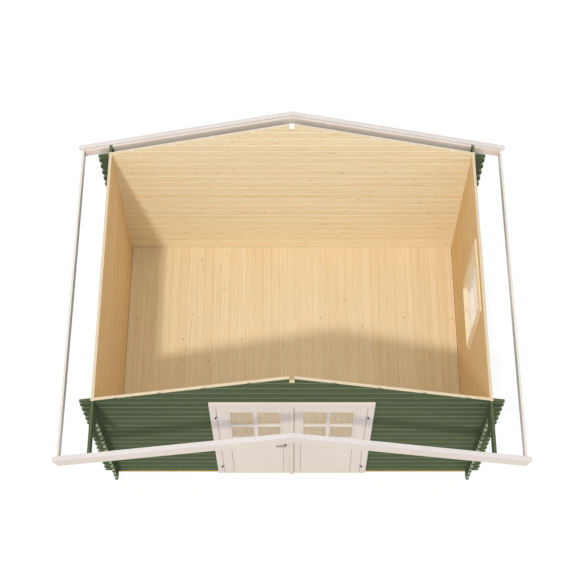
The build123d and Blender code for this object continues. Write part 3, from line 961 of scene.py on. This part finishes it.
def add_bar(mesh, outline, axis, span):
    """A straight bar: an outline carried along one axis."""
    rings = []
    for where in span:
        places = [list(point) for point in outline]
        for point in places:
            point.insert(axis, where)
        rings.append([mesh.verts.new(point) for point in places])
    first, last = rings
    mesh.faces.new(first)
    mesh.faces.new(list(reversed(last)))
    for i in range(len(first)):
        mesh.faces.new((first[i - 1], last[i - 1], last[i], first[i]))


def finish_piece(mesh, name, body, material):
    """Turns a mesh into a piece that rides on a body."""
    bmesh.ops.recalc_face_normals(mesh, faces=mesh.faces)
    data = bpy.data.meshes.new(name)
    mesh.to_mesh(data)
    mesh.free()
    data.materials.append(material)
    piece = bpy.data.objects.new(name, data)
    scene.collection.objects.link(piece)
    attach(piece, body)
    return piece


print("mesh helpers ready")

# %% [markdown]
# The floor is one slab in the solids. On the real cabin it is tongued boards that run from front to
# back, with a small bevel at each joint. Modelled boards show these lines from any side and light,
# which a bump could not.

# %% Floor boards
FLOOR_BOARD = 0.095
BOARD_BEVEL = 0.0015
BOARD_GAP = 0.0004
FLOOR_ORDER = (1, 0, 2)
FLOOR_ROW = 5.0
FLOOR_KNOTS = 0.08
floor_low, floor_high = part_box("floor")
board_count = round((floor_high[0] - floor_low[0]) / FLOOR_BOARD)
board_pitch = (floor_high[0] - floor_low[0]) / board_count
boards = bmesh.new()
for i in range(board_count):
    left = floor_low[0] + i * board_pitch
    width = (left + BOARD_GAP / 2, left + board_pitch - BOARD_GAP / 2)
    outline = bevelled(width, (floor_low[2], floor_high[2]), BOARD_BEVEL)
    add_bar(boards, outline, 1, (floor_low[1], floor_high[1]))


def make_floor_timber():
    """Spruce floor boards, each with its own number across the room."""
    material, tree, shader = new_material("floor_timber", roughness=0.5, specular=0.15)
    where = surface_place(tree)
    along = reorder(tree, where, FLOOR_ORDER)
    across = calc(tree, "SUBTRACT", axes(tree, where)[0], floor_low[0])
    board = place(tree, board_number, Across=across, Width=board_pitch, Row=FLOOR_ROW)["Board"]
    cut = place(tree, grain, Along=along, Board=board, Knots=FLOOR_KNOTS)
    colour = timber_colour(tree, cut, board, FLOOR_PALE, FLOOR_DARK)
    tree.links.new(colour, shader.inputs["Base Color"])
    bump(tree, shader, cut["Height"], strength=0.25, distance=GRAIN_RELIEF)
    return material


floor_boards = finish_piece(boards, "floor_boards", "cabin", make_floor_timber())
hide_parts("floor")
print("floor boards:", board_count)

# %% [markdown]
# The lower part of each door is filled with level boards with V-joints. Lines in a bump would do
# from afar, but boards catch the light at their joints from any side. They lie a little behind the
# stiles and ride on their door. A narrow groove is left at each end, with a strip in its depth so
# that it can't be seen through.

# %% Door boards
DOOR_BOARDS = 9
V_JOINT = 0.005
SIDE_GAP = 0.003
BACKING = 0.008
for door in ("left_door", "right_door"):
    low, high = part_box(f"{door}_panel")
    step = (high[2] - low[2]) / DOOR_BOARDS
    mesh = bmesh.new()
    for i in range(DOOR_BOARDS):
        z = low[2] + i * step
        rise = (z + BOARD_GAP / 2, z + step - BOARD_GAP / 2)
        outline = bevelled((low[1], high[1]), rise, V_JOINT)
        add_bar(mesh, outline, 0, (low[0] + SIDE_GAP, high[0] - SIDE_GAP))
    for x in (low[0], high[0] - SIDE_GAP):
        outline = bevelled((x, x + SIDE_GAP), (high[1] - BACKING, high[1]), BOARD_GAP)
        add_bar(mesh, outline, 2, (low[2], high[2]))
    piece = finish_piece(mesh, f"{door}_boards", door, paint["x"])
    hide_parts(f"{door}_panel")
print("boards in each door:", DOOR_BOARDS)

# %% [markdown]
# The upper part of each door is glazed. A frame of beads holds the glass on both faces, and an
# upright and two level bars divide it into four panes. The bars run through the sheet of glass from
# one face to the other. A face that lies flat on glass looks black from the other side of it, so
# the bars stand a little proud inside. Only the outer corners of beads and bars are rounded off.

# %% Glazing bars of the doors
BEAD = 0.024
TOP_BEAD = 0.008
BAR = 0.040
BAR_BEVEL = 0.003
BAR_PROUD = 0.002
FACE_SETBACK = 0.0015


def on_glass(span, face, back):
    """The section of a bead: flat on the glass, with a bevel at its two outer corners."""
    low, high = span
    shoulder = face + math.copysign(BAR_BEVEL, back - face)
    return [
        (low, back), (high, back), (high, shoulder),
        (high - BAR_BEVEL, face), (low + BAR_BEVEL, face), (low, shoulder),
    ]


def swapped(section):
    """The same section with its two axes swapped, for a bar that runs another way."""
    return [(depth, across) for across, depth in section]


def glazing(mesh, across, up, face, back):
    """Beads round one face of the glass in a door."""
    (x0, x1), (z0, z1) = across, up
    for x in (x0, x1 - BEAD):
        add_bar(mesh, on_glass((x, x + BEAD), face, back), 2, (z0, z1))
    for span in ((z0, z0 + BEAD), (z1 - TOP_BEAD, z1)):
        add_bar(mesh, swapped(on_glass(span, face, back)), 0, (x0 + BEAD, x1 - BEAD))


def crossed_bars(mesh, across, up, face, back):
    """An upright bar and two level ones between the beads, through the glass."""
    (x0, x1), (z0, z1) = across, up
    middle_x, middle_z = (x0 + x1) / 2, (z0 + z1) / 2
    left, right = middle_x - BAR / 2, middle_x + BAR / 2
    add_bar(mesh, on_glass((left, right), face, back), 2, (z0 + BEAD, z1 - TOP_BEAD))
    section = swapped(on_glass((middle_z - BAR / 2, middle_z + BAR / 2), face, back))
    for span in ((x0 + BEAD, left), (right, x1 - BEAD)):
        add_bar(mesh, section, 0, span)


for door in ("left_door", "right_door"):
    pane_low, pane_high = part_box(f"{door}_glass")
    leaf_low, leaf_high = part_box(f"{door}_leaf")
    across, up = (pane_low[0], pane_high[0]), (pane_low[2], pane_high[2])
    mesh = bmesh.new()
    outer, inner = leaf_low[1] + FACE_SETBACK, leaf_high[1] - FACE_SETBACK
    glazing(mesh, across, up, outer, pane_low[1])
    glazing(mesh, across, up, inner, pane_high[1])
    crossed_bars(mesh, across, up, outer, pane_high[1] + BAR_PROUD)
    finish_piece(mesh, f"{door}_glazing_bars", door, paint["z"])
print("glazing bars on both doors")

# %% [markdown]
# The window has one large pane in a sash of the brighter lit paint, painted light that keeps it
# white in shade. Beads hold the glass on both faces, lower than the sash so that a small step
# shows. The pane faces sideways, so they run along Y and Z.

# %% Glazing beads of the window
WINDOW_BEAD = 0.024
WINDOW_STEP = 0.004
pane_low, pane_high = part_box("window_glass")
between = (pane_low[1] + WINDOW_BEAD, pane_high[1] - WINDOW_BEAD)
mesh = bmesh.new()
sides = ((sash_low[0] + WINDOW_STEP, pane_low[0]), (sash_high[0] - WINDOW_STEP, pane_high[0]))
for face, back in sides:
    for y in (pane_low[1], between[1]):
        section = swapped(on_glass((y, y + WINDOW_BEAD), face, back))
        add_bar(mesh, section, 2, (pane_low[2], pane_high[2]))
    for z in (pane_low[2], pane_high[2] - WINDOW_BEAD):
        section = swapped(on_glass((z, z + WINDOW_BEAD), face, back))
        add_bar(mesh, section, 1, between)
finish_piece(mesh, "window_glazing_beads", "cabin", lit_paint["z"])
print("glazing beads in the window")

# %% [markdown]
# Each hinge strap is held to its door by two screws. A screw head is a low dome. A squashed sphere
# would bring many points that are never seen, so the dome is three rings of points that close in
# one in the middle.

# %% Hinge screws
SCREW_RADIUS = 0.0035
SCREW_RISE = 0.0012
SCREW_POINTS = 16
SCREW_SHARES = (0.35, 0.78)
DOME_SHARES = ((1.0, 0.0), (0.8, 0.7), (0.4, 0.95))
STRAP_THICKNESS = 0.004
STRAP_HALF = 0.010


def add_screw(mesh, x, face, z):
    """A domed screw head on a face that looks to the front."""
    rings = []
    for radius_share, rise_share in DOME_SHARES:
        radius, y = SCREW_RADIUS * radius_share, face - SCREW_RISE * rise_share
        turns = [2 * math.pi * k / SCREW_POINTS for k in range(SCREW_POINTS)]
        circle = [(x + radius * math.cos(turn), y, z + radius * math.sin(turn)) for turn in turns]
        rings.append([mesh.verts.new(point) for point in circle])
    top = mesh.verts.new((x, face - SCREW_RISE, z))
    mesh.faces.new(list(reversed(rings[0])))
    for outer, inner in zip(rings, rings[1:]):
        for k in range(SCREW_POINTS):
            mesh.faces.new((outer[k - 1], outer[k], inner[k], inner[k - 1]))
    for k in range(SCREW_POINTS):
        mesh.faces.new((rings[-1][k - 1], rings[-1][k], top))


for door, side in (("left_door", -1), ("right_door", 1)):
    strap_low, strap_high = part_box(f"{door}_hinge_straps")
    leaf_low, leaf_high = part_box(f"{door}_leaf")
    tip = strap_high[0] if side < 0 else strap_low[0]
    edge = leaf_low[0] if side < 0 else leaf_high[0]
    strap_face = leaf_low[1] - STRAP_THICKNESS
    mesh = bmesh.new()
    for z in (strap_low[2] + STRAP_HALF, strap_high[2] - STRAP_HALF):
        for share in SCREW_SHARES:
            add_screw(mesh, tip + (edge - tip) * share, strap_face, z)
    finish_piece(mesh, f"{door}_hinge_screws", door, metal)
print("screws in each strap:", len(SCREW_SHARES))

# %% [markdown]
# A door needs room to turn, so there is a gap at each hinge edge and where the leaves meet. Weather
# strips close most of it. They ride on the leaves, just behind the face, and stop short of the
# wood across the gap so that they never rub.

# %% Weather strips
STRIP_REACH = {"hinge": 0.0045, "meeting": 0.0072}
STRIP_DEPTH = (0.007, 0.019)
STRIP_BEVEL = 0.001
for door, side in (("left_door", -1), ("right_door", 1)):
    leaf_low, leaf_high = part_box(f"{door}_leaf")
    depth = (leaf_low[1] + STRIP_DEPTH[0], leaf_low[1] + STRIP_DEPTH[1])
    hinge_edge = leaf_low[0] if side < 0 else leaf_high[0]
    edges = [sorted((hinge_edge, hinge_edge + side * STRIP_REACH["hinge"]))]
    if side < 0:
        edges.append((leaf_high[0], leaf_high[0] + STRIP_REACH["meeting"]))
    mesh = bmesh.new()
    for span in edges:
        add_bar(mesh, bevelled(span, depth, STRIP_BEVEL), 2, (leaf_low[2], leaf_high[2]))
    finish_piece(mesh, f"{door}_weather_strips", door, paint["z"])
print("weather strips on both doors")

# %% [markdown]
# The cabin stands on a plain pale floor, which takes its shadow. For light that bounces, the floor
# is a pale grey. For the camera it adds a glow of its own, so that it looks white with only a soft
# shadow.

# %% Floor under the cabin
GROUND_HALF = 30.0
BOUNCE_GREY = (0.55, 0.55, 0.55, 1)
SEEN_GREY = (0.15, 0.15, 0.15, 1)
GLOW = 0.87
ground_mesh = bpy.data.meshes.new("ground")
corners = [(x * GROUND_HALF, y * GROUND_HALF, 0) for x, y in ((-1, -1), (1, -1), (1, 1), (-1, 1))]
ground_mesh.from_pydata(corners, [], [(0, 1, 2, 3)])
ground = bpy.data.objects.new("ground", ground_mesh)
scene.collection.objects.link(ground)
ground_finish, tree, shader = new_material("pale_floor", roughness=1.0, specular=0.0)
seen = seen_rays(tree)
tree.links.new(blend(tree, seen, BOUNCE_GREY, SEEN_GREY), shader.inputs["Base Color"])
shader.inputs["Emission Color"].default_value = WHITE
tree.links.new(product(tree, seen, GLOW), shader.inputs["Emission Strength"])
ground_mesh.materials.append(ground_finish)
print("floor:", 2 * GROUND_HALF, "m wide")

# %% [markdown]
# Last, a short line is printed to show that the script has run to its end.

# %% Finish
print("scene built")
